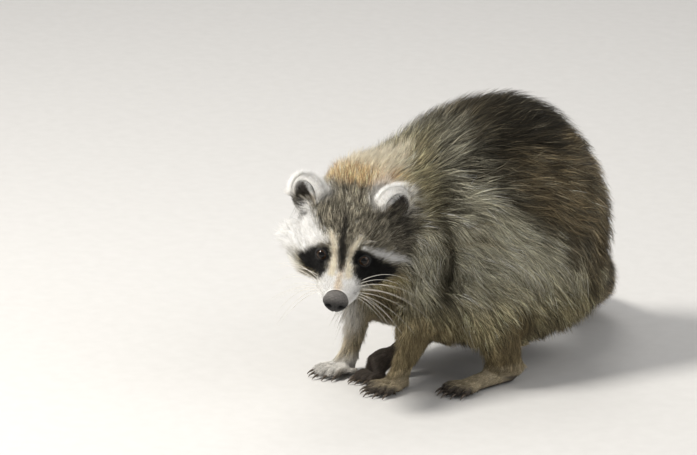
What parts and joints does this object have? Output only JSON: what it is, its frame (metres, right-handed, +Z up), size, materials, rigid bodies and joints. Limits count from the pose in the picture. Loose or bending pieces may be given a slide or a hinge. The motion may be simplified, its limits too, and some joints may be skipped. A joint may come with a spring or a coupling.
{
  "type": "raccoon",
  "caption": "Still, life-size raccoon standing half-crouched on four feet, back arched, head lowered and turned to its left, ringed tail swept to its right.",
  "frame": {"origin": "middle of the base of the bounding box, on the floor that the feet stand on", "axes": "the animal faces -Y, its left side is +X, +Z is up"},
  "size_m": [0.3178, 0.4894, 0.2867],
  "materials": {
    "coat": "long grizzled fur, grey-brown with black guard hairs, darker along the back",
    "face": "short fur, black mask with white brows and muzzle, grizzled crown",
    "ear": "short fur, dark with broad white rims",
    "tail": "bushy fur with alternate dark and light rings and a dark tip",
    "foot": "short pale fur over dark naked soles, dark horn claws",
    "eye": "wet, dark brown iris and black pupil",
    "nose": "moist black, finely pebbled"
  },
  "bodies": {
    "root": {"head": "face", "neck": "coat", "trunk": "coat", "tail_root": "tail", "tail_middle": "tail", "tail_tip": "tail", "ear_left": "ear", "ear_right": "ear", "upper_arm_left": "coat", "upper_arm_right": "coat", "forearm_left": "coat", "forearm_right": "coat", "fore_foot_left": "foot", "fore_foot_right": "foot", "thigh_left": "coat", "thigh_right": "coat", "shank_left": "coat", "shank_right": "coat", "hind_foot_left": "foot", "hind_foot_right": "foot", "eye_left": "eye", "eye_right": "eye", "nose": "nose"}
  },
  "joints": []
}
